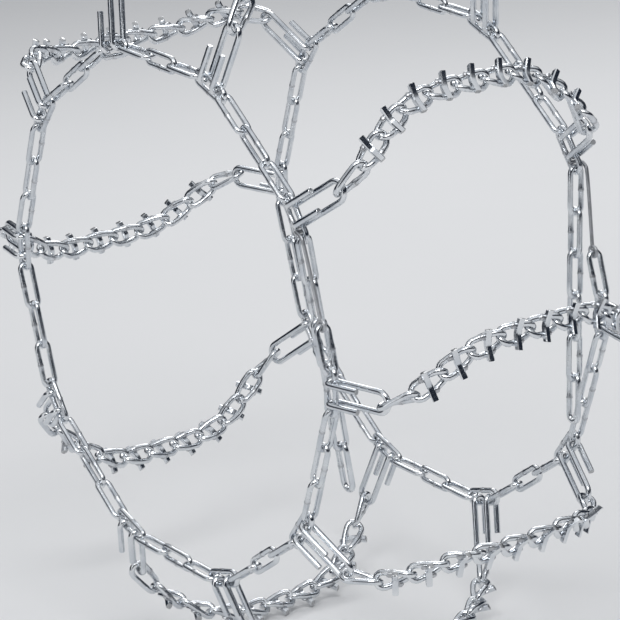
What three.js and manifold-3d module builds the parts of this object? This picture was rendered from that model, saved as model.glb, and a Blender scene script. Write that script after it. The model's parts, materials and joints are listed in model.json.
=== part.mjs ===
// Ladder tyre chain for a 25 x 10-12 quad tyre: two side chains, cross chains with V-bars between them, cross hooks,
// and on each side an end link, a wire fastener and the surplus tail of the side chain.
// Millimetres, +Z up, the axle along Y, the outer side of the wheel at -Y.
import * as THREE from "three";
import { mergeVertices } from "three/addons/utils/BufferGeometryUtils.js";
import Module from "manifold-3d";

const wasm = await Module();
wasm.setup();

// the tyre that the chain is laid on
const treadRadius = 317.5;
const tyreHalfWidth = 127;
const lugDepth = 14; // the chain sinks between the tread lugs
const sectionPower = 2.45; // roundness of the tyre section: 2 is an ellipse
const chainLift = 6; // from the rubber to the middle of a cross chain
const sideLift = 7; // from the widest rubber to the middle of a side chain
const dragAngle = THREE.MathUtils.degToRad(9); // how far driving drags a cross chain round at the crown
const dragSpread = 2; // how near to the side chains the drag keeps up

// the ladder
const bayCount = 10;
const plainLinksPerBay = 3;
const firstCornerAngle = THREE.MathUtils.degToRad(29);
const crossLinkCount = 11;
const tailNodeCount = 3;
const linksPerTailNode = 2;

// wires and links
const sideWire = 4.5;
const sideLinkLength = 42.5;
const sideLinkWidth = 15.5;
const crossWire = 5;
const crossLinkLength = 36;
const crossLinkWidth = 18;
const linkTwist = Math.PI / 4; // half of the turn between the two ends of a cross link
const endLinkTwist = Math.PI / 2; // the first and last cross link stand square to their hooks

// V-bars
const barLength = 24;
const barSide = 5;
const barRise = THREE.MathUtils.degToRad(20);
const barSlant = THREE.MathUtils.degToRad(14);

// cross hooks
const hookWire = 5;
const hookLegSpacing = 16.5;
const prongLength = 26;
const closureHookShift = 2.5; // the first hook makes room for the fastener

// fastener and tail
const fastenerWire = 3;
const shankClearance = 1.0; // beyond linkGap, between the shank and the links beside it
const tipCorner = 0.8; // how far the tip's bend is cut across
const tipReach = 5.5; // how far the tip stands through the corner link, from the link's middle plane
const tailLean = THREE.MathUtils.degToRad(6); // the tail follows the sidewall inward

// fits
const joinDepth = 0.6; // how deep links of one node bite into each other
const joinTolerance = 0.08; // slivers smaller than this are closed up after a join
const weldDepth = 0.9; // how deep a V-bar is let into the legs of its link
const hookClearance = 1.8; // along the cross chain, between its end link and the hook that it hangs in
const linkGap = 0.35; // clearance between nodes that hang in each other

// how many corners stand for the bends of a link
const sideLinkCorners = 8;
const crossLinkCorners = 4;
const fastenerEyeCorners = 8;
// how many flats stand for the round of a wire
const linkWireSides = 4;
const hookWireSides = 4;
const fastenerWireSides = 6;

// distances along a chain from the middle of one link to the next
const sideJoinedPitch = sideLinkLength - 2 * sideWire + joinDepth;
const sideLoosePitch = sideLinkLength - 2 * sideWire - linkGap;
const crossPitch = crossLinkLength - 2 * crossWire + joinDepth;

// the corner radius at which the bays of the side chain close into a regular ring
const halfBayAngle = Math.PI / bayCount;
const runLength = (plainLinksPerBay - 0.5) * sideJoinedPitch + 0.5 * sideLoosePitch;
const cornerAllowance = ((sideJoinedPitch + sideLoosePitch) / 2) * Math.cos(halfBayAngle);
const cornerRadius = (runLength + cornerAllowance) / (2 * Math.sin(halfBayAngle));
const sideY = -(tyreHalfWidth + sideLift);
const sideLegOffset = (sideLinkWidth - sideWire) / 2;
const sideCrownOffset = (sideLinkLength - sideWire) / 2; // from a side link's middle to the middle of its end wire
const legRadius = cornerRadius + sideLegOffset;
const crownRadius = treadRadius - lugDepth + chainLift;

const finishes = {
  sideChain: { color: 0xc9ced4, metalness: 0.9, roughness: 0.28 },
  crossChain: { color: 0xd2d7dc, metalness: 0.9, roughness: 0.25 },
  hook: { color: 0xcfd4d9, metalness: 0.9, roughness: 0.22 },
  fastener: { color: 0xb4b8bc, metalness: 0.85, roughness: 0.42 },
};

// ---- solids ----

function toSolid(geometry) {
  const plain = geometry.clone();
  plain.deleteAttribute("normal");
  plain.deleteAttribute("uv");
  const merged = mergeVertices(plain, 1e-4);
  const vertProperties = new Float32Array(merged.attributes.position.array);
  const triVerts = new Uint32Array(merged.index.array);
  return new wasm.Manifold(new wasm.Mesh({ numProp: 3, vertProperties, triVerts }));
}

function toGeometry(solid) {
  const mesh = solid.getMesh();
  const geometry = new THREE.BufferGeometry();
  geometry.setAttribute("position", new THREE.BufferAttribute(new Float32Array(mesh.vertProperties), 3));
  geometry.setIndex(new THREE.BufferAttribute(new Uint32Array(mesh.triVerts), 1));
  return geometry;
}

function joinAll(geometries) {
  const solids = geometries.map(toSolid);
  return toGeometry(solids.reduce((whole, piece) => whole.add(piece)).simplify(joinTolerance));
}

// the same piece on the other side of the wheel: Y changes sign and the faces turn over
function mirrored(geometry) {
  const copy = geometry.index ? geometry.toNonIndexed() : geometry.clone();
  copy.scale(1, -1, 1);
  const points = copy.attributes.position;
  const first = new THREE.Vector3();
  const second = new THREE.Vector3();
  for (let corner = 0; corner < points.count; corner += 3) {
    first.fromBufferAttribute(points, corner + 1);
    second.fromBufferAttribute(points, corner + 2);
    points.setXYZ(corner + 1, second.x, second.y, second.z);
    points.setXYZ(corner + 2, first.x, first.y, first.z);
  }
  copy.deleteAttribute("normal");
  return mergeVertices(copy, 1e-4);
}

// a ring of square wire, drawn out to a link along X and turned about X from one end to the other
function linkGeometry({ wire, length, width, ringCorners, startTurn = 0, endTurn = 0 }) {
  const halfCorner = Math.PI / ringCorners;
  const square = Math.cos(halfCorner);
  const bendRadius = (width - wire) / 2;
  const straight = length - width;
  const ring = new THREE.TorusGeometry(bendRadius / square, wire / 2 / square, linkWireSides, ringCorners);
  ring.rotateZ(halfCorner);
  ring.scale(1, 1, square);
  const reach = (length - wire) / 2;
  const point = new THREE.Vector3();
  const along = new THREE.Vector3(1, 0, 0);
  for (let index = 0; index < ring.attributes.position.count; index += 1) {
    point.fromBufferAttribute(ring.attributes.position, index);
    point.x += (Math.sign(point.x) * straight) / 2;
    const share = THREE.MathUtils.clamp(0.5 + point.x / (2 * reach), 0, 1);
    point.applyAxisAngle(along, THREE.MathUtils.lerp(startTurn, endTurn, share));
    ring.attributes.position.setXYZ(index, point.x, point.y, point.z);
  }
  return ring;
}

// a route of straight stretches: the section stands on each corner, halfway between the two stretches
class CornerPath extends THREE.Curve {
  constructor(corners) {
    super();
    this.corners = corners;
  }

  getPointAt(share) {
    const place = share * (this.corners.length - 1);
    const index = Math.min(Math.floor(place), this.corners.length - 2);
    return this.corners[index].clone().lerp(this.corners[index + 1], place - index);
  }

  getTangentAt(share) {
    const index = Math.round(share * (this.corners.length - 1));
    const before = this.corners[Math.max(index - 1, 0)];
    const here = this.corners[index];
    const after = this.corners[Math.min(index + 1, this.corners.length - 1)];
    const arriving = here.clone().sub(before).normalize();
    const leaving = after.clone().sub(here).normalize();
    return arriving.add(leaving).normalize();
  }
}

function wireGeometry(corners, wire, sides) {
  const section = new THREE.Shape();
  for (let side = 0; side < sides; side += 1) {
    const angle = ((side + 0.5) * 2 * Math.PI) / sides;
    const x = (wire / 2) * Math.cos(angle);
    const y = (wire / 2) * Math.sin(angle);
    if (side === 0) section.moveTo(x, y);
    else section.lineTo(x, y);
  }
  section.closePath();
  const path = new CornerPath(corners);
  return new THREE.ExtrudeGeometry(section, { steps: corners.length - 1, extrudePath: path });
}

// ---- where things lie ----

// one cross chain's course, as if its hooks stood at polar angle 0: across the tyre from the outer to the inner side
class CrossCourse extends THREE.Curve {
  getPoint(share) {
    const angle = share * Math.PI;
    const across = Math.sign(Math.cos(angle)) * Math.abs(Math.cos(angle)) ** (2 / sectionPower);
    const up = Math.sin(angle) ** (2 / sectionPower);
    const radius = legRadius + (crownRadius - legRadius) * up;
    const drag = dragAngle * ((1 + Math.cos(Math.PI * Math.abs(across) ** dragSpread)) / 2);
    const y = -across * (tyreHalfWidth + chainLift / 2);
    return new THREE.Vector3(radius * Math.cos(drag), y, radius * Math.sin(drag));
  }
}

const course = new CrossCourse();
course.arcLengthDivisions = 1200;
const courseLength = course.getLength();

// a frame on the course: X along it, Y across it, Z away from the tyre
function courseFrame(distance) {
  const share = 0.5 + distance / courseLength;
  const place = course.getPointAt(share);
  const step = 0.5 / courseLength;
  const ahead = course.getPointAt(share + step);
  const behind = course.getPointAt(share - step);
  const along = ahead.sub(behind).normalize();
  const polar = Math.atan2(place.z, place.x);
  const round = new THREE.Vector3(-Math.sin(polar), 0, Math.cos(polar));
  const away = along.clone().cross(round).normalize();
  const across = away.clone().cross(along);
  return new THREE.Matrix4().makeBasis(along, across, away).setPosition(place);
}

function cornerAngle(corner) {
  return firstCornerAngle + 2 * halfBayAngle * corner;
}

// a frame at a start point: X pointing along a direction, Z as near as it can to the way out of the wheel's outer
// side, and so on the ring Y points to the wheel's middle
function lineFrame(start, direction) {
  const along = direction.clone().normalize();
  const inward = new THREE.Vector3(0, -1, 0).cross(along).normalize();
  const away = along.clone().cross(inward);
  return new THREE.Matrix4().makeBasis(along, inward, away).setPosition(start);
}

// the frame at a corner of the outer side chain, X along the chain toward the next corner
function cornerFrame(corner) {
  const angle = cornerAngle(corner);
  const place = new THREE.Vector3(Math.cos(angle), 0, Math.sin(angle)).multiplyScalar(cornerRadius).setY(sideY);
  return lineFrame(place, new THREE.Vector3(-Math.sin(angle), 0, Math.cos(angle)));
}

function sideLinkAt(frame, distance, turn) {
  const size = { wire: sideWire, length: sideLinkLength, width: sideLinkWidth, ringCorners: sideLinkCorners };
  return linkGeometry(size).rotateX(turn).translate(distance, 0, 0).applyMatrix4(frame);
}

// where a run or the closure meets a corner link, measured from the corner
function jointPoint(corner, distance) {
  return new THREE.Vector3(distance, 0, 0).applyMatrix4(cornerFrame(corner));
}

// ---- pieces ----

function sideRun(corner) {
  const pieces = [sideLinkAt(cornerFrame(corner), 0, 0)];
  if (corner < bayCount - 1) {
    const start = jointPoint(corner, sideJoinedPitch / 2);
    const end = jointPoint(corner + 1, -sideLoosePitch / 2);
    const frame = lineFrame(start, end.sub(start));
    for (let link = 0; link < plainLinksPerBay; link += 1) {
      const turn = link % 2 === 0 ? Math.PI / 2 : 0;
      pieces.push(sideLinkAt(frame, (link + 0.5) * sideJoinedPitch, turn));
    }
  }
  return joinAll(pieces);
}

function vBar() {
  const half = barLength / 2;
  const lift = half * Math.tan(barRise);
  const outline = new THREE.Shape();
  outline.moveTo(0, 0);
  outline.lineTo(half, lift);
  outline.lineTo(half, lift + barSide);
  outline.lineTo(0, barSide);
  outline.lineTo(-half, lift + barSide);
  outline.lineTo(-half, lift);
  outline.closePath();
  const bar = new THREE.ExtrudeGeometry(outline, { depth: barSide, bevelEnabled: false });
  const legOffset = (crossLinkWidth - crossWire) / 2;
  const crossing = legOffset / Math.cos(barSlant);
  const crossingX = crossing * Math.sin(barSlant);
  const legTurn = (linkTwist * crossingX) / ((crossLinkLength - crossWire) / 2);
  const legTop = legOffset * Math.sin(legTurn) + crossWire / 2;
  const seat = legTop - weldDepth - crossing * Math.tan(barRise);
  bar.translate(0, seat, -barSide / 2);
  // the outline stands up from the link, then the bar is slanted across it
  const stand = new THREE.Matrix4().makeBasis(
    new THREE.Vector3(0, 1, 0),
    new THREE.Vector3(0, 0, 1),
    new THREE.Vector3(1, 0, 0),
  );
  return bar.applyMatrix4(stand).rotateZ(-barSlant);
}

function crossChain(corner) {
  const pieces = [];
  const last = crossLinkCount - 1;
  const size = { wire: crossWire, length: crossLinkLength, width: crossLinkWidth, ringCorners: crossLinkCorners };
  for (let link = 0; link <= last; link += 1) {
    const frame = courseFrame((link - last / 2) * crossPitch);
    const startTurn = link === 0 ? endLinkTwist : -linkTwist;
    const endTurn = link === last ? -endLinkTwist : linkTwist;
    pieces.push(linkGeometry({ ...size, startTurn, endTurn }).applyMatrix4(frame));
    if (link > 0 && link < last) pieces.push(vBar().applyMatrix4(frame));
  }
  return joinAll(pieces).rotateY(-cornerAngle(corner));
}

// one wire: prong, fold round the side link's leg, leg, U, and the same back
function crossHook(corner) {
  const foldRadius = sideWire / 2 + hookWire / 2 + linkGap;
  const uRadius = hookLegSpacing / 2;
  const shift = corner === 0 ? closureHookShift : 0;
  const fold = new THREE.Vector3(legRadius, sideY, shift);
  const uInside = crossLinkLength / 2 - crossWire - hookWire / 2 - hookClearance;
  const firstLink = courseFrame((-(crossLinkCount - 1) / 2) * crossPitch);
  const uEnd = new THREE.Vector3(-uInside, 0, 0).applyMatrix4(firstLink);
  const toward = uEnd.clone().sub(fold);
  const span = toward.length();
  toward.normalize();
  const away = toward.clone().cross(new THREE.Vector3(0, 0, 1)).normalize();
  const lean = Math.asin(foldRadius / span);
  const along = toward.clone().multiplyScalar(Math.cos(lean)).addScaledVector(away, Math.sin(lean));
  const up = away.clone().multiplyScalar(Math.cos(lean)).addScaledVector(toward, -Math.sin(lean));
  const sideways = up.clone().cross(along);
  const tilt = Math.abs(sideways.x / sideways.z);
  const slack = (hookLegSpacing / 2 + hookWire / 2) * tilt;
  const reach = span * Math.cos(lean);
  const side = (sign) => [
    [prongLength, foldRadius, sign * uRadius],
    [-slack, foldRadius, sign * uRadius],
    [-slack - foldRadius * Math.SQRT1_2, foldRadius * Math.SQRT1_2, sign * uRadius],
    [-slack - foldRadius, 0, sign * uRadius],
    [-slack - foldRadius * Math.SQRT1_2, -foldRadius * Math.SQRT1_2, sign * uRadius],
    [-slack, -foldRadius, sign * uRadius],
    [reach - uRadius, -foldRadius, sign * uRadius],
    [reach - uRadius * (1 - Math.SQRT1_2), -foldRadius, sign * uRadius * Math.SQRT1_2],
  ];
  const points = [...side(-1), [reach, -foldRadius, 0], ...side(1).reverse()];
  const frame = new THREE.Matrix4().makeBasis(along, up, sideways).setPosition(fold);
  const corners = points.map((point) => new THREE.Vector3(...point).applyMatrix4(frame));
  return wireGeometry(corners, hookWire, hookWireSides).rotateY(-cornerAngle(corner));
}

// the closure lies between the last corner and the first: an end link, then the wire fastener that catches the first
// corner's link beside the tail
function closureFrame() {
  const start = jointPoint(bayCount - 1, sideLoosePitch / 2);
  const end = jointPoint(0, -sideLoosePitch / 2);
  return lineFrame(start, end.sub(start));
}

function endLink() {
  return sideLinkAt(closureFrame(), sideLoosePitch / 2, Math.PI / 2);
}

// an eye round the end link, a straight shank past the tail, and a tip that drops through the corner link's opening
function fastener() {
  const frame = closureFrame();
  const eyeRadius = sideWire / 2 + fastenerWire / 2 + linkGap;
  const eyeMiddle = sideLoosePitch / 2 + sideCrownOffset;
  const eye = new THREE.TorusGeometry(eyeRadius, fastenerWire / 2, linkWireSides, fastenerEyeCorners);
  eye.translate(eyeMiddle, 0, 0).applyMatrix4(frame);
  const beside = sideWire / 2 + fastenerWire / 2 + linkGap + shankClearance;
  const hang = -sideLoosePitch / 2; // where the tail hangs in the corner link
  const tailCrown = sideCrownOffset - sideLoosePitch + sideWire / 2;
  const hookSide = closureHookShift - (hookLegSpacing + hookWire) / 2;
  const tip = (tailCrown + hookSide) / 2;
  const bend = [
    [hang - sideWire, -beside, beside],
    [tip - beside, -beside, beside],
    [tip, -tipCorner, beside],
    [tip, 0, beside - 2 * tipCorner],
    [tip, 0, -tipReach],
  ];
  const corner = cornerFrame(0);
  const inCorner = bend.map((point) => new THREE.Vector3(...point).applyMatrix4(corner));
  const shankStart = new THREE.Vector3(eyeMiddle + eyeRadius, 0, 0).applyMatrix4(frame);
  const wire = wireGeometry([shankStart, ...inCorner], fastenerWire, fastenerWireSides);
  return joinAll([eye, wire]);
}

// the surplus of the side chain hangs from the first corner's link, straight down but for the lean of the sidewall
function tailFrame() {
  const start = jointPoint(0, sideCrownOffset - sideLoosePitch);
  const down = new THREE.Vector3(0, Math.sin(tailLean), -Math.cos(tailLean));
  return lineFrame(start, down);
}

function tailPiece(index) {
  const pieceLength = (linksPerTailNode - 1) * sideJoinedPitch + sideLoosePitch;
  const start = index * pieceLength + sideCrownOffset;
  const pieces = [];
  for (let link = 0; link < linksPerTailNode; link += 1) {
    const turn = (index * linksPerTailNode + link) % 2 === 0 ? Math.PI / 2 : 0;
    pieces.push(sideLinkAt(tailFrame(), start + link * sideJoinedPitch, turn));
  }
  return joinAll(pieces);
}

const chain = new THREE.Group();

function addPiece(name, geometry, finish) {
  const mesh = new THREE.Mesh(geometry, new THREE.MeshStandardMaterial(finishes[finish]));
  mesh.name = name;
  chain.add(mesh);
}

function addPair(name, geometry, finish) {
  addPiece(`outer_${name}`, geometry, finish);
  addPiece(`inner_${name}`, mirrored(geometry), finish);
}

for (let corner = 0; corner < bayCount; corner += 1) {
  addPair(`run_${corner + 1}`, sideRun(corner), "sideChain");
  addPair(`hook_${corner + 1}`, crossHook(corner), "hook");
  addPiece(`cross_chain_${corner + 1}`, crossChain(corner), "crossChain");
}
addPair("end_link", endLink(), "sideChain");
addPair("fastener", fastener(), "fastener");
for (let index = 0; index < tailNodeCount; index += 1) {
  addPair(`tail_${index + 1}`, tailPiece(index), "sideChain");
}

export default chain;
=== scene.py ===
# Ladder tyre chain with V-bars: bright zinc links, hooks and wire fasteners dressed over the CAD frame.
import json
import bpy
import numpy as np
from math import radians, tan, cos, sin, pi
from mathutils import Matrix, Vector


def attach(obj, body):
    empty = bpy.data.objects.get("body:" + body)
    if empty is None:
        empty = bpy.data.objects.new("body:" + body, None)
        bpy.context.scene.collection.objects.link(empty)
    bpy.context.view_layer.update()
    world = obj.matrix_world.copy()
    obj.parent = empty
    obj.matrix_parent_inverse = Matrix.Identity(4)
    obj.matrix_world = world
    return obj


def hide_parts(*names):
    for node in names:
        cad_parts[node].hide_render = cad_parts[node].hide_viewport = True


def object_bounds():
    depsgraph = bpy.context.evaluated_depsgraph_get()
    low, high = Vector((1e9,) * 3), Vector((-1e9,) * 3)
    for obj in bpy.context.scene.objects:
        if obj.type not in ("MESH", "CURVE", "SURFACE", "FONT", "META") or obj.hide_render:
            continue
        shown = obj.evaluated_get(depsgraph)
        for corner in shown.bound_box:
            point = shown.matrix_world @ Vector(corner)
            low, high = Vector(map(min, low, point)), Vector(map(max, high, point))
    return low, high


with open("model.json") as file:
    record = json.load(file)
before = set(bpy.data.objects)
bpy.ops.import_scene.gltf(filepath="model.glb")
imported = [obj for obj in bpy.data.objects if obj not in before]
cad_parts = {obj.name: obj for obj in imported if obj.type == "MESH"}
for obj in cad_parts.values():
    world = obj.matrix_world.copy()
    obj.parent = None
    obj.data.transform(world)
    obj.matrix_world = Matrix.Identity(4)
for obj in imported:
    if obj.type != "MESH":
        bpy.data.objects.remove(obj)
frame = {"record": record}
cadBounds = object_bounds()
print("frame loaded")

# how the chain lies on its tyre, mm and degrees; the same sizes as the CAD frame
ladder = {
    "treadRadius": 317.5, "halfWidth": 127.0, "lugDepth": 14.0, "sectionPower": 2.45,
    "chainLift": 6.0, "sideLift": 7.0, "drag": 9.0, "dragSpread": 2,
    "bays": 10, "linksPerBay": 3, "firstCorner": 29.0, "crossLinks": 11,
    "tailNodes": 3, "linksPerTail": 2, "tailLean": 6.0, "join": 0.6, "loose": 0.35,
}
# rings are counted over half a crown and half a leg
sideLink = {
    "wire": 4.5, "length": 42.5, "width": 15.5, "weldSwell": 0.17, "weldWidth": 1.2,
    "rings": 4, "legRings": 3, "sides": 10,
}
crossLink = {
    "wire": 5.0, "length": 36.0, "width": 18.0, "weldSwell": 0.16, "weldWidth": 1.3,
    "rings": 4, "legRings": 3, "sides": 10, "twist": pi / 4, "endTwist": pi / 2,
}

joined = sideLink["length"] - 2 * sideLink["wire"] + ladder["join"]
loosePitch = sideLink["length"] - 2 * sideLink["wire"] - ladder["loose"]
crownOffset = (sideLink["length"] - sideLink["wire"]) / 2
crossPitch = crossLink["length"] - 2 * crossLink["wire"] + ladder["join"]
halfBay = pi / ladder["bays"]
runLength = (ladder["linksPerBay"] - 0.5) * joined + 0.5 * loosePitch
cornerRadius = (runLength + (joined + loosePitch) / 2 * cos(halfBay)) / (2 * sin(halfBay))
sideY = -(ladder["halfWidth"] + ladder["sideLift"])
legRadius = cornerRadius + (sideLink["width"] - sideLink["wire"]) / 2
crownRadius = ladder["treadRadius"] - ladder["lugDepth"] + ladder["chainLift"]
legOffset = (crossLink["width"] - crossLink["wire"]) / 2


def unit(v):
    v = np.asarray(v, float)
    return v / np.linalg.norm(v, axis=-1, keepdims=True)


def place(frame4, points):
    return points @ frame4[:3, :3].T + frame4[:3, 3]


def makeFrame(x, y, z, origin):
    m = np.eye(4)
    m[:3, 0], m[:3, 1], m[:3, 2], m[:3, 3] = x, y, z, origin
    return m


# X along a direction, Y to the wheel's middle, Z out of the wheel's outer side
def lineFrame(start, direction):
    along = unit(direction)
    inward = unit(np.cross([0, -1, 0], along))
    return makeFrame(along, inward, np.cross(along, inward), start)


def cornerFrame(corner):
    a = radians(ladder["firstCorner"]) + 2 * halfBay * corner
    spot = np.array([cornerRadius * cos(a), sideY, cornerRadius * sin(a)])
    return lineFrame(spot, [-sin(a), 0, cos(a)])


def jointPoint(corner, distance):
    return place(cornerFrame(corner), np.array([distance, 0.0, 0.0]))


# the course of a cross chain whose hooks stand at angle 0: a superellipse section of the tyre, whose crown is
# dragged round the axle by drag x (1 + cos(pi x |across|^dragSpread)) / 2
def coursePoint(share):
    a = np.asarray(share) * pi
    c = np.cos(a)
    across = np.sign(c) * np.abs(c) ** (2 / ladder["sectionPower"])
    up = np.abs(np.sin(a)) ** (2 / ladder["sectionPower"])
    radius = legRadius + (crownRadius - legRadius) * up
    drag = radians(ladder["drag"]) * (1 + np.cos(pi * np.abs(across) ** ladder["dragSpread"])) / 2
    y = -across * (ladder["halfWidth"] + ladder["chainLift"] / 2)
    return np.stack([radius * np.cos(drag), y, radius * np.sin(drag)], -1)


courseShares = np.linspace(0, 1, 6001)
courseSteps = np.linalg.norm(np.diff(coursePoint(courseShares), axis=0), axis=1)
courseRuns = np.concatenate([[0], np.cumsum(courseSteps)])
courseLength = courseRuns[-1]


def courseAt(distance):
    return coursePoint(np.interp(distance + courseLength / 2, courseRuns, courseShares))


def courseFrame(distance):
    here = courseAt(distance)
    along = unit(courseAt(distance + 0.5) - courseAt(distance - 0.5))
    polar = np.arctan2(here[2], here[0])
    away = unit(np.cross(along, [-sin(polar), 0, cos(polar)]))
    return makeFrame(along, np.cross(away, along), away, here)


# turns points about the axle by an angle counter-clockwise as seen from the outer side
def turned(points, angle):
    c, s = cos(angle), sin(angle)
    x, z = points[:, 0], points[:, 2]
    return np.stack([c * x - s * z, points[:, 1], s * x + c * z], 1)


# ---- surfaces: each is (points, faces, wear, weld, cut); a face of three points has -1 as its fourth ----

def gridQuads(rings, sides):
    i = np.arange(rings - 1)[:, None]
    j = np.arange(sides)[None, :]
    a, b = i * sides + j, i * sides + (j + 1) % sides
    return np.stack([a, b, b + sides, a + sides], -1).reshape(-1, 4)


# a grid whose last ring joins its first
def hoopQuads(rings, sides):
    return gridQuads(rings + 1, sides) % (rings * sides)


# a grid closed at each end by a fan to a middle point; the two middle points come last
def cappedGrid(rings, sides, reverse):
    total = rings * sides
    j = np.arange(sides)
    k = (j + 1) % sides
    a, b = (j, k) if reverse else (k, j)
    lastRing = total - sides
    gap = np.full(sides, -1)
    quads = gridQuads(rings, sides)
    return np.vstack([
        quads[:, ::-1] if reverse else quads,
        np.stack([0 * j + total, a, b, gap], 1),
        np.stack([0 * j + total + 1, lastRing + b, lastRing + a, gap], 1)])


# marks the first ring, the last ring and the two middle points of a capped grid as cut ends
def cutEnds(rings, sides):
    marks = np.zeros(rings * sides + 2)
    marks[:sides] = 1
    marks[-sides - 2:] = 1
    return marks


# round sections along a path: path point + radius x (cos v x side + sin v x third), third = direction x side,
# where side is first squared to the direction
def roundSections(path, direction, side, radius, sides):
    side = unit(side - (side * direction).sum(1, keepdims=True) * direction)
    third = np.cross(direction, side)
    v = np.linspace(0, 2 * pi, sides, endpoint=False)[None, :, None]
    around = np.cos(v) * side[:, None] + np.sin(v) * third[:, None]
    r = np.broadcast_to(radius, (len(path),))[:, None, None]
    return (path[:, None] + r * around).reshape(-1, 3)


# a wire whose path closes on itself
def hoopSweep(path, side, radius, sides):
    direction = unit(np.roll(path, -1, 0) - np.roll(path, 1, 0))
    return roundSections(path, direction, side, radius, sides), hoopQuads(len(path), sides)


# a link: a stadium centre line, each point turned about the length by an angle that runs evenly from end to
# end; the wire swells at the weld in the middle of one leg as 1 + swell x exp(-(distance / width)^2)
def linkSurface(size, startTurn=0.0, endTurn=0.0, flip=False):
    w = size["wire"]
    bend, half = (size["width"] - w) / 2, (size["length"] - size["width"]) / 2
    share = np.linspace(-1, 1, 2 * size["legRings"] + 1)
    leg = half * np.sign(share) * np.abs(share) ** 2   # rings closer together about the weld
    crown = np.linspace(-pi / 2, pi / 2, 2 * size["rings"] + 1)[1:-1]
    x = np.concatenate([leg, half + bend * np.cos(crown), -leg, -half - bend * np.cos(crown)])
    y = np.concatenate([-bend + 0 * leg, bend * np.sin(crown), bend + 0 * leg, -bend * np.sin(crown)])
    reach = half + bend
    turn = startTurn + (endTurn - startTurn) * np.clip(0.5 + x / (2 * reach), 0, 1)
    path = np.stack([x, y * np.cos(turn), y * np.sin(turn)], 1)
    side = np.stack([0 * x, -np.sin(turn), np.cos(turn)], 1)
    secondLeg = len(leg) + len(crown)
    weldSide = np.zeros(len(x))
    weldSide[secondLeg if flip else 0:secondLeg + len(leg) if flip else len(leg)] = 1
    weld = np.exp(-(x / size["weldWidth"]) ** 2) * weldSide
    radius = w / 2 * (1 + size["weldSwell"] * weld)
    points, quads = hoopSweep(path, side, radius, size["sides"])
    wear = np.repeat(np.clip((np.abs(x) - half) / bend, 0, 1) ** 2, size["sides"])
    return points, quads, wear, np.repeat(weld, size["sides"]), 0 * wear


# a wire with two ends, each closed with a chamfer ring and a middle point
def cappedSweep(path, side, radius, sides, chamfer):
    ends = unit(path[[0, -1]] - path[[1, -2]])
    shoulders = path[[0, -1]] - ends * chamfer
    full = np.vstack([path[:1], shoulders[:1], path[1:-1], shoulders[1:], path[-1:]])
    sideRows = np.vstack([side[:1], side, side[-1:]])
    r = np.full(len(full), float(radius))
    r[[0, -1]] = radius - chamfer
    points = roundSections(full, unit(np.gradient(full, axis=0)), sideRows, r, sides)
    points = np.vstack([points, full[:1], full[-1:]])
    cut = cutEnds(len(full), sides)
    return points, cappedGrid(len(full), sides, False), 0 * cut, 0 * cut, cut


# stations are shares of half the bar's length; wear runs from wornFrom over wornDepth, above the seat
bar = {
    "length": 24.0, "side": 5.0, "rise": 20.0, "slant": 14.0, "sink": 0.9, "bend": 2.2,
    "sides": 16, "cornerPower": 7, "endShrink": 0.9, "wornFrom": 5.0, "wornDepth": 4.0,
    "stations": [-1, -0.985, -0.7, -0.4, -0.18, -0.07, 0, 0.07, 0.18, 0.4, 0.7, 0.985, 1],
}


# a V-bar: a rounded square carried along a shallow V whose height is (sqrt(s^2 + bend^2) - bend) x tan(rise);
# the section's outline is a superellipse, (|cos v|^power + |sin v|^power)^(-1 / power) from the middle
def barSurface():
    half, rise, power, sides = bar["length"] / 2, tan(radians(bar["rise"])), bar["cornerPower"], bar["sides"]
    s = half * np.array(bar["stations"])
    height = (np.sqrt(s ** 2 + bar["bend"] ** 2) - bar["bend"]) * rise + bar["side"] / 2
    v = np.linspace(0, 2 * pi, sides, endpoint=False) + pi / sides
    outline = (np.abs(np.cos(v)) ** power + np.abs(np.sin(v)) ** power) ** (-1 / power) * bar["side"] / 2
    shrink = np.ones((len(s), 1))
    shrink[[0, -1]] = bar["endShrink"]
    points = np.stack([
        outline * np.cos(v) * shrink,
        np.broadcast_to(s[:, None], (len(s), sides)),
        height[:, None] + outline * np.sin(v) * shrink], -1).reshape(-1, 3)
    points = np.vstack([points, [[0, s[0], height[0]], [0, s[-1], height[-1]]]])
    slant = radians(bar["slant"])
    crossing = legOffset / cos(slant)
    legTurn = crossLink["twist"] * crossing * sin(slant) / ((crossLink["length"] - crossLink["wire"]) / 2)
    seat = legOffset * sin(legTurn) + crossLink["wire"] / 2 - bar["sink"] - crossing * rise
    points[:, 2] += seat
    points = points @ np.array([[cos(slant), sin(slant), 0], [-sin(slant), cos(slant), 0], [0, 0, 1]]).T
    wear = np.clip((points[:, 2] - seat - bar["wornFrom"]) / bar["wornDepth"], 0, 1)
    return points, cappedGrid(len(s), sides, True), wear, 0 * wear, cutEnds(len(s), sides)


# half sizes along the link, across it and away from the tyre; low is how far it is sunk under the wire's top
barWeld = {
    "long": 3.75, "wide": 2.6, "high": 1.5, "low": 0.3,
    "rings": 6, "sides": 10, "lumps": 4, "lumpHeight": 0.08,
}


# the weld where a bar crosses a leg: a flattened ball, its radius 1 + lumpHeight x sin(lumps x v) x sin t
def barWeldSurface(centre):
    rings, sides = barWeld["rings"], barWeld["sides"]
    t = np.linspace(0, pi, rings + 1)[1:-1, None]
    v = np.linspace(0, 2 * pi, sides, endpoint=False)
    r = (1 + barWeld["lumpHeight"] * np.sin(barWeld["lumps"] * v) * np.sin(t)) * np.sin(t)
    points = np.stack([r * np.cos(v), r * np.sin(v), np.broadcast_to(np.cos(t), r.shape)], -1).reshape(-1, 3)
    size = np.array([barWeld["long"], barWeld["wide"], barWeld["high"]])
    points = np.vstack([points, [[0, 0, 1], [0, 0, -1]]]) * size + centre
    ones = np.ones(len(points))
    return points, cappedGrid(rings - 1, sides, True), 0 * ones, ones, 0 * ones


def moved(surface, frame4):
    return (place(frame4, surface[0]),) + surface[1:]


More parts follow.
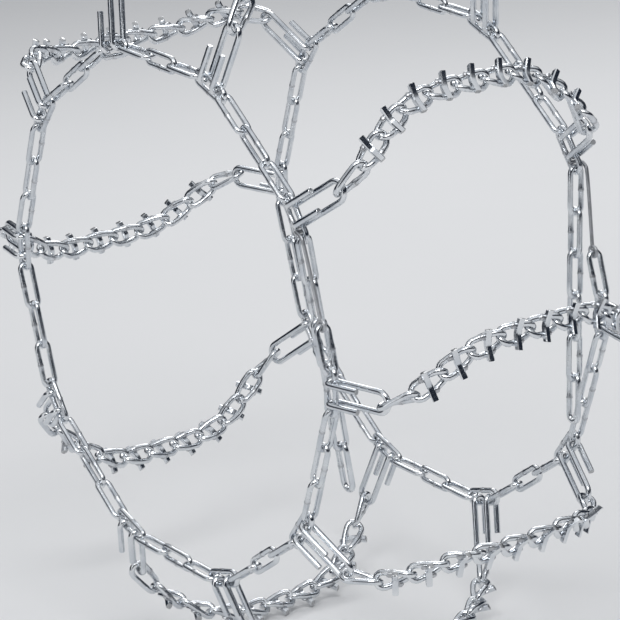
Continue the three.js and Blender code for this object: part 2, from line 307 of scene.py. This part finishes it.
def joinSurfaces(parts):
    starts = np.cumsum([0] + [len(p[0]) for p in parts[:-1]])
    faces = [np.where(p[1] < 0, -1, p[1] + s) for p, s in zip(parts, starts)]
    return (np.vstack([p[0] for p in parts]), np.vstack(faces)) + tuple(
        np.concatenate([p[i] for p in parts]) for i in (2, 3, 4))


def sideLinkAt(frame4, distance, turn, flip=False):
    points, *rest = linkSurface(sideLink, turn, turn, flip)
    return moved((points + [distance, 0, 0], *rest), frame4)


def sideRun(corner):
    parts = [sideLinkAt(cornerFrame(corner), 0, 0.0, True)]
    if corner < ladder["bays"] - 1:
        start, end = jointPoint(corner, joined / 2), jointPoint(corner + 1, -loosePitch / 2)
        line = lineFrame(start, end - start)
        for i in range(ladder["linksPerBay"]):
            turn = pi / 2 if i % 2 == 0 else 0.0
            parts.append(sideLinkAt(line, (i + 0.5) * joined, turn, (corner + i) % 2 == 0))
    return joinSurfaces(parts)


def crossChain(corner):
    parts = []
    last = ladder["crossLinks"] - 1
    oneBar = barSurface()
    along = legOffset * tan(radians(bar["slant"]))
    weldTop = crossLink["wire"] / 2 - barWeld["low"]
    for i in range(last + 1):
        at = courseFrame((i - last / 2) * crossPitch)
        startTurn = crossLink["endTwist"] if i == 0 else -crossLink["twist"]
        endTurn = -crossLink["endTwist"] if i == last else crossLink["twist"]
        parts.append(moved(linkSurface(crossLink, startTurn, endTurn, i % 2 == 1), at))
        if 0 < i < last:
            parts.append(moved(oneBar, at))
            for sign in (-1, 1):
                parts.append(moved(barWeldSurface([-sign * along, sign * legOffset, weldTop]), at))
    points, *rest = joinSurfaces(parts)
    return (turned(points, radians(ladder["firstCorner"]) + 2 * halfBay * corner), *rest)


hook = {
    "wire": 5.0, "spacing": 16.5, "prong": 26.0, "firstShift": 2.5, "clearance": 1.8,
    "sides": 14, "foldRings": 9, "bowRings": 15, "chamfer": 0.35, "bowWear": 9.0, "foldWear": 3.0,
}


# a cross hook: prong, half circle round the side link's leg (the fold), leg, half circle inside the cross
# chain's end link (the bow), and the same way back; the section's side turns with each stretch, so that the
# wire never twists
def crossHook(corner):
    fold = (sideLink["wire"] + hook["wire"]) / 2 + ladder["loose"]
    bowRadius = hook["spacing"] / 2
    start = np.array([legRadius, sideY, hook["firstShift"] if corner == 0 else 0.0])
    inside = crossLink["length"] / 2 - crossLink["wire"] - hook["wire"] / 2 - hook["clearance"]
    end = place(courseFrame(-(ladder["crossLinks"] - 1) / 2 * crossPitch), np.array([-inside, 0, 0]))
    span = np.linalg.norm(end - start)
    toward = (end - start) / span
    away = unit(np.cross(toward, [0, 0, 1]))
    lean = np.arcsin(fold / span)
    along = toward * cos(lean) + away * sin(lean)
    up = away * cos(lean) - toward * sin(lean)
    sideways = np.cross(up, along)
    slack = (hook["spacing"] + hook["wire"]) / 2 * abs(sideways[0] / sideways[2])
    reach = span * cos(lean)
    # x runs along the hook, u away from the tyre and w sideways
    a = np.linspace(pi / 2, 3 * pi / 2, hook["foldRings"])
    prongX = np.array([hook["prong"], hook["prong"] * 0.5])
    legX = np.concatenate([prongX, -slack + fold * np.cos(a), [reach * 0.5]])
    legU = np.concatenate([0 * prongX + fold, fold * np.sin(a), [-fold]])
    b = np.linspace(-pi / 2, pi / 2, hook["bowRings"])
    x = np.concatenate([legX, reach - bowRadius + bowRadius * np.cos(b), legX[::-1]])
    u = np.concatenate([legU, 0 * b - fold, legU[::-1]])
    w = np.concatenate([0 * legU - bowRadius, bowRadius * np.sin(b), 0 * legU + bowRadius])
    path = x[:, None] * along + u[:, None] * up + w[:, None] * sideways
    side = np.cross(np.cross(along, sideways), unit(np.gradient(path, axis=0)))
    side[:len(legU)], side[-len(legU):] = sideways, -sideways
    sides = hook["sides"]
    points, faces, _, weld, cut = cappedSweep(path + start, side, hook["wire"] / 2, sides, hook["chamfer"])
    rings = np.concatenate([x[:1], x, x[-1:]])
    bowRub = np.clip((rings - reach + hook["bowWear"]) / hook["bowWear"], 0, 1)
    foldRub = np.clip(-rings / hook["foldWear"], 0, 1)
    wear = np.clip(np.concatenate([np.repeat(bowRub + foldRub, sides), [0, 0]]), 0, 1)
    return turned(points, radians(ladder["firstCorner"]) + 2 * halfBay * corner), faces, wear, weld, cut


def closureFrame():
    start = jointPoint(ladder["bays"] - 1, loosePitch / 2)
    end = jointPoint(0, -loosePitch / 2)
    return lineFrame(start, end - start)


# cuts the corners of a route: each stretch keeps its middle half, as many times over as asked
def softened(route, times):
    for _ in range(times):
        a, b = route[:-1], route[1:]
        inner = np.stack([a * 0.75 + b * 0.25, a * 0.25 + b * 0.75], 1).reshape(-1, 3)
        route = np.vstack([route[:1], inner, route[-1:]])
    return route


clasp = {
    "wire": 3.0, "clear": 1.0, "corner": 0.8, "reach": 5.5, "eyeRings": 20, "eyeSides": 10,
    "shankSides": 12, "chamfer": 0.5, "shankStart": 0.9, "softening": 2,
}


# the fastener: an eye round the end link, radius x (cos t, sin t) in the plane of the sidewall, and a
# softened route for its shank and tip
def claspSurface():
    at = closureFrame()
    ring = (sideLink["wire"] + clasp["wire"]) / 2 + ladder["loose"]
    middle = loosePitch / 2 + crownOffset
    t = np.linspace(0, 2 * pi, clasp["eyeRings"], endpoint=False)
    path = np.stack([middle + ring * np.cos(t), ring * np.sin(t), 0 * t], 1)
    side = np.broadcast_to([0.0, 0.0, 1.0], path.shape)
    points, faces = hoopSweep(path, side, clasp["wire"] / 2, clasp["eyeSides"])
    zeros = np.zeros(len(points))
    eye = moved((points, faces, zeros, zeros, zeros), at)
    beside = ring + clasp["clear"]
    tailCrown = crownOffset - loosePitch + sideLink["wire"] / 2
    hookSide = hook["firstShift"] - (hook["spacing"] + hook["wire"]) / 2
    tip = (tailCrown + hookSide) / 2
    bend = np.array([
        [-loosePitch / 2 - sideLink["wire"], -beside, beside],
        [tip - beside, -beside, beside],
        [tip, -clasp["corner"], beside],
        [tip, 0, beside - 2 * clasp["corner"]],
        [tip, 0, -clasp["reach"]]])
    first = place(at, np.array([[middle + ring * clasp["shankStart"], 0, 0]]))
    route = softened(np.vstack([first, place(cornerFrame(0), bend)]), clasp["softening"])
    wanted = np.broadcast_to(at[:3, 1], route.shape)
    shank = cappedSweep(route, wanted, clasp["wire"] / 2, clasp["shankSides"], clasp["chamfer"])
    return joinSurfaces([eye, shank])


def endLink():
    return sideLinkAt(closureFrame(), loosePitch / 2, pi / 2)


def tailPiece(index):
    lean = radians(ladder["tailLean"])
    down = lineFrame(jointPoint(0, crownOffset - loosePitch), [0, sin(lean), -cos(lean)])
    length = (ladder["linksPerTail"] - 1) * joined + loosePitch
    parts = []
    for i in range(ladder["linksPerTail"]):
        turn = pi / 2 if (index * ladder["linksPerTail"] + i) % 2 == 0 else 0.0
        parts.append(sideLinkAt(down, index * length + crownOffset + i * joined, turn, i == 0))
    return joinSurfaces(parts)


# the same piece on the other side of the wheel: y changes sign and the faces turn over
def mirrorSurface(surface):
    points, faces, *rest = surface
    flipped = faces[:, ::-1].copy()
    three = faces[:, 3] < 0
    flipped[three] = np.stack([faces[three, 0], faces[three, 2], faces[three, 1], faces[three, 3]], 1)
    return (points * [1, -1, 1], flipped, *rest)


# ---- finishes ----

def addNoise(tree, scale, detail, rough=0.5):
    noise = tree.nodes.new("ShaderNodeTexNoise")
    noise.inputs["Scale"].default_value = scale
    noise.inputs["Detail"].default_value = detail
    noise.inputs["Roughness"].default_value = rough
    tree.links.new(tree.nodes.new("ShaderNodeTexCoord").outputs["Object"], noise.inputs["Vector"])
    return noise.outputs[0]


def addAttribute(tree, key):
    node = tree.nodes.new("ShaderNodeAttribute")
    node.attribute_name = key
    return node.outputs["Fac"]


def mixColour(tree, factor, a, b):
    node = tree.nodes.new("ShaderNodeMix")
    node.data_type = "RGBA"
    tree.links.new(factor, node.inputs[0])
    for socket, value in ((node.inputs[6], a), (node.inputs[7], b)):
        if isinstance(value, tuple):
            socket.default_value = value
        else:
            tree.links.new(value, socket)
    return node.outputs[2]


def ramp(tree, source, low, high, outLow, outHigh):
    node = tree.nodes.new("ShaderNodeMapRange")
    tree.links.new(source, node.inputs["Value"])
    for key, value in (("From Min", low), ("From Max", high), ("To Min", outLow), ("To Max", outHigh)):
        node.inputs[key].default_value = value
    return node.outputs[0]


def maths(tree, operation, a, b):
    node = tree.nodes.new("ShaderNodeMath")
    node.operation = operation
    for socket, value in ((node.inputs[0], a), (node.inputs[1], b)):
        if isinstance(value, (int, float)):
            socket.default_value = value
        else:
            tree.links.new(value, socket)
    return node.outputs[0]


# scales are noise cells to a metre, and a share is how far its tint covers the plate; patchRough and
# spangleRough are what each adds to rough at its two ends, weldRough and cutRough are added to it, and
# wornSmooth is taken away
brightZinc = {
    "tintA": (0.6, 0.635, 0.68, 1), "tintB": (0.76, 0.785, 0.81, 1), "metal": 1.0,
    "patchScale": 70, "spangleScale": 650, "speckScale": 1500,
    "speckTint": (0.2, 0.2, 0.2, 1), "speckShare": 0.35, "weldTint": (0.36, 0.36, 0.37, 1),
    "wornTint": (0.86, 0.87, 0.88, 1), "wornShare": 0.6, "cutTint": (0.36, 0.36, 0.36, 1), "cutShare": 0.7,
    "bump": 0.12, "bumpDepth": 0.0006, "rough": 0.2,
    "patchRough": (-0.03, 0.04), "spangleRough": (-0.07, 0.09),
    "weldRough": 0.16, "cutRough": 0.14, "wornSmooth": 0.06,
}


# zinc plate: two tints in patches, dark specks, a finer spangle in roughness and bump; darker and rougher at
# welds and on cut ends, paler and smoother where links rub
def zincMaterial(name, look):
    material = bpy.data.materials.new(name)
    material.use_nodes = True
    tree = material.node_tree
    shader = tree.nodes["Principled BSDF"]
    wear, weld, cut = (addAttribute(tree, key) for key in ("wear", "weld", "cut"))
    patches = addNoise(tree, look["patchScale"], 3)
    spangle = addNoise(tree, look["spangleScale"], 4, 0.6)
    specks = addNoise(tree, look["speckScale"], 2)

    colour = mixColour(tree, ramp(tree, patches, 0.35, 0.65, 0, 1), look["tintA"], look["tintB"])
    specked = maths(tree, "MULTIPLY", ramp(tree, specks, 0.6, 0.74, 0, 1), look["speckShare"])
    colour = mixColour(tree, specked, colour, look["speckTint"])
    scorched = maths(tree, "MULTIPLY", weld, ramp(tree, spangle, 0.3, 0.7, 0.35, 0.85))
    colour = mixColour(tree, scorched, colour, look["weldTint"])
    colour = mixColour(tree, maths(tree, "MULTIPLY", wear, look["wornShare"]), colour, look["wornTint"])
    colour = mixColour(tree, maths(tree, "MULTIPLY", cut, look["cutShare"]), colour, look["cutTint"])
    tree.links.new(colour, shader.inputs["Base Color"])

    low, high = look["spangleRough"]
    spangleRough = ramp(tree, spangle, 0.25, 0.75, look["rough"] + low, look["rough"] + high)
    rough = maths(tree, "ADD", spangleRough, ramp(tree, patches, 0.3, 0.7, *look["patchRough"]))
    rough = maths(tree, "ADD", rough, maths(tree, "MULTIPLY", weld, look["weldRough"]))
    rough = maths(tree, "ADD", rough, maths(tree, "MULTIPLY", cut, look["cutRough"]))
    rough = maths(tree, "SUBTRACT", rough, maths(tree, "MULTIPLY", wear, look["wornSmooth"]))
    tree.links.new(rough, shader.inputs["Roughness"])
    shader.inputs["Metallic"].default_value = look["metal"]

    bump = tree.nodes.new("ShaderNodeBump")
    bump.inputs["Strength"].default_value = look["bump"]
    bump.inputs["Distance"].default_value = look["bumpDepth"]
    height = maths(tree, "ADD", maths(tree, "MULTIPLY", spangle, 0.6), maths(tree, "MULTIPLY", specks, 0.25))
    tree.links.new(height, bump.inputs["Height"])
    tree.links.new(bump.outputs[0], shader.inputs["Normal"])
    return material


crossZinc = {**brightZinc, "rough": 0.18, "tintA": (0.63, 0.66, 0.7, 1)}
claspZinc = {
    **brightZinc, "rough": 0.4, "speckShare": 0.8, "bump": 0.35,
    "tintA": (0.42, 0.43, 0.45, 1), "tintB": (0.6, 0.61, 0.63, 1),
}
materials = {
    "side_chain": zincMaterial("sideChainZinc", brightZinc),
    "cross_chain": zincMaterial("crossChainZinc", crossZinc),
    "hook": zincMaterial("hookZinc", {**brightZinc, "rough": 0.17}),
    "fastener": zincMaterial("fastenerZinc", claspZinc),
}
print("finishes made")

# ---- pieces ----

nodeBody = {node: body for body, nodes in frame["record"]["behaviour"]["bodies"].items() for node in nodes}
nodeSlot = {row["node"]: row["material_slot"] for row in frame["record"]["subparts"]}
sharpAngle = 38   # degrees between faces, above which an edge stays sharp


def addPiece(node, surface):
    points, faces, wear, weld, cut = surface
    mesh = bpy.data.meshes.new(node + "_look")
    threeSided = faces[:, 3] < 0
    loops = faces[~threeSided].tolist() + faces[threeSided, :3].tolist()
    mesh.from_pydata((points / 1000).tolist(), [], loops)
    mesh.update()
    for key, values in (("wear", wear), ("weld", weld), ("cut", cut)):
        mesh.attributes.new(key, "FLOAT", "POINT").data.foreach_set("value", np.asarray(values, np.float32))
    mesh.polygons.foreach_set("use_smooth", np.ones(len(mesh.polygons), bool))
    piece = bpy.data.objects.new(node + "_look", mesh)
    bpy.context.scene.collection.objects.link(piece)
    mesh.materials.append(materials[nodeSlot[node]])
    mesh.set_sharp_from_angle(angle=radians(sharpAngle))
    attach(piece, nodeBody[node])
    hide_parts(node)


def addPair(name, surface):
    addPiece("outer_" + name, surface)
    addPiece("inner_" + name, mirrorSurface(surface))


for corner in range(ladder["bays"]):
    addPair(f"run_{corner + 1}", sideRun(corner))
    addPair(f"hook_{corner + 1}", crossHook(corner))
    addPiece(f"cross_chain_{corner + 1}", crossChain(corner))
print("ladder dressed")
addPair("end_link", endLink())
addPair("fastener", claspSurface())
for index in range(ladder["tailNodes"]):
    addPair(f"tail_{index + 1}", tailPiece(index))
print("closure and tails dressed")

# ---- floor, light and camera ----

# metres, watts and strengths; bandTop and ceiling are the upward parts of a direction one long, between which
# the sky goes from bandColour to ceilingColour
stage = {
    "floor": (0.74, 0.745, 0.75, 1), "floorPatches": (0.77, 0.77, 0.775, 1),
    "patchScale": 3.0, "patchDetail": 4.0, "floorRough": 0.8, "size": 30.0,
    "key": 50.0, "fill": 8.0, "rim": 24.0, "world": 0.72,
    "bandTop": 0.4, "ceiling": 0.72, "bandColour": (0.02, 0.028, 0.045, 1),
    "ceilingColour": (1.0, 1.02, 1.05, 1), "backdrop": (0.8, 0.81, 0.82, 1),
}


def layFloor():
    lowest = min(cadBounds[0][2], cadBounds[1][2])
    bpy.ops.mesh.primitive_plane_add(size=stage["size"], location=(0, 0, lowest))
    floor = bpy.context.object
    floor.name = "floor"
    paper = bpy.data.materials.new("paper")
    paper.use_nodes = True
    tree = paper.node_tree
    shader = tree.nodes["Principled BSDF"]
    patches = addNoise(tree, stage["patchScale"], stage["patchDetail"])
    colour = mixColour(tree, patches, stage["floor"], stage["floorPatches"])
    tree.links.new(colour, shader.inputs["Base Color"])
    shader.inputs["Roughness"].default_value = stage["floorRough"]
    floor.data.materials.append(paper)


# a dark band low down and a pale ceiling, so that the metal mirrors both; seen directly it is plain and pale
def hangSky():
    world = bpy.data.worlds.new("studio")
    bpy.context.scene.world = world
    world.use_nodes = True
    tree = world.node_tree
    height = tree.nodes.new("ShaderNodeSeparateXYZ")
    tree.links.new(tree.nodes.new("ShaderNodeTexCoord").outputs["Generated"], height.inputs[0])
    upper = ramp(tree, height.outputs[2], stage["bandTop"], stage["ceiling"], 0, 1)
    sky = mixColour(tree, upper, stage["bandColour"], stage["ceilingColour"])
    seenDirectly = tree.nodes.new("ShaderNodeLightPath").outputs["Is Camera Ray"]
    background = tree.nodes["Background"]
    tree.links.new(mixColour(tree, seenDirectly, sky, stage["backdrop"]), background.inputs[0])
    background.inputs[1].default_value = stage["world"]


# an area light that faces the middle of the wheel
def addLight(name, spot, size, power):
    data = bpy.data.lights.new(name, "AREA")
    data.shape = "RECTANGLE"
    data.size, data.size_y = size
    data.energy = power
    light = bpy.data.objects.new(name, data)
    bpy.context.scene.collection.objects.link(light)
    back = unit(spot)
    right = unit(np.cross([0, 0, 1], back))
    light.matrix_world = Matrix(makeFrame(right, np.cross(back, right), back, spot).tolist())


layFloor()
hangSky()
addLight("key", (2.0, -1.2, 2.6), (1.6, 1.0), stage["key"])
addLight("fill", (0.4, -3.0, 0.8), (1.2, 1.8), stage["fill"])
addLight("rim", (-1.8, 1.6, 1.8), (1.5, 1.0), stage["rim"])

# azimuth, elevation and roll in degrees; metres from the middle of the outer side chain, and metres that the
# view is moved right and up; lens and sensor in millimetres
view = {
    "azimuth": 55.25, "elevation": 14.37, "roll": -5.3,
    "distance": 3.0, "right": 0.1123, "up": 0.0043, "lens": 218.0, "sensor": 36,
}
az, el, ro = radians(view["azimuth"]), radians(view["elevation"]), radians(view["roll"])
back = np.array([sin(az) * cos(el), -cos(az) * cos(el), sin(el)])
level = np.array([cos(az), sin(az), 0.0])
upright = np.cross(back, level)
right = level * cos(ro) + upright * sin(ro)
up = upright * cos(ro) - level * sin(ro)
spot = np.array([0, sideY / 1000, 0]) + back * view["distance"] + right * view["right"] + up * view["up"]
cameraData = bpy.data.cameras.new("camera")
cameraData.sensor_width = view["sensor"]
cameraData.lens = view["lens"]
camera = bpy.data.objects.new("camera", cameraData)
bpy.context.scene.collection.objects.link(camera)
camera.matrix_world = Matrix(makeFrame(right, up, back, spot).tolist())
bpy.context.scene.camera = camera
bpy.context.scene.view_settings.view_transform = "Standard"
print("stage and camera set")
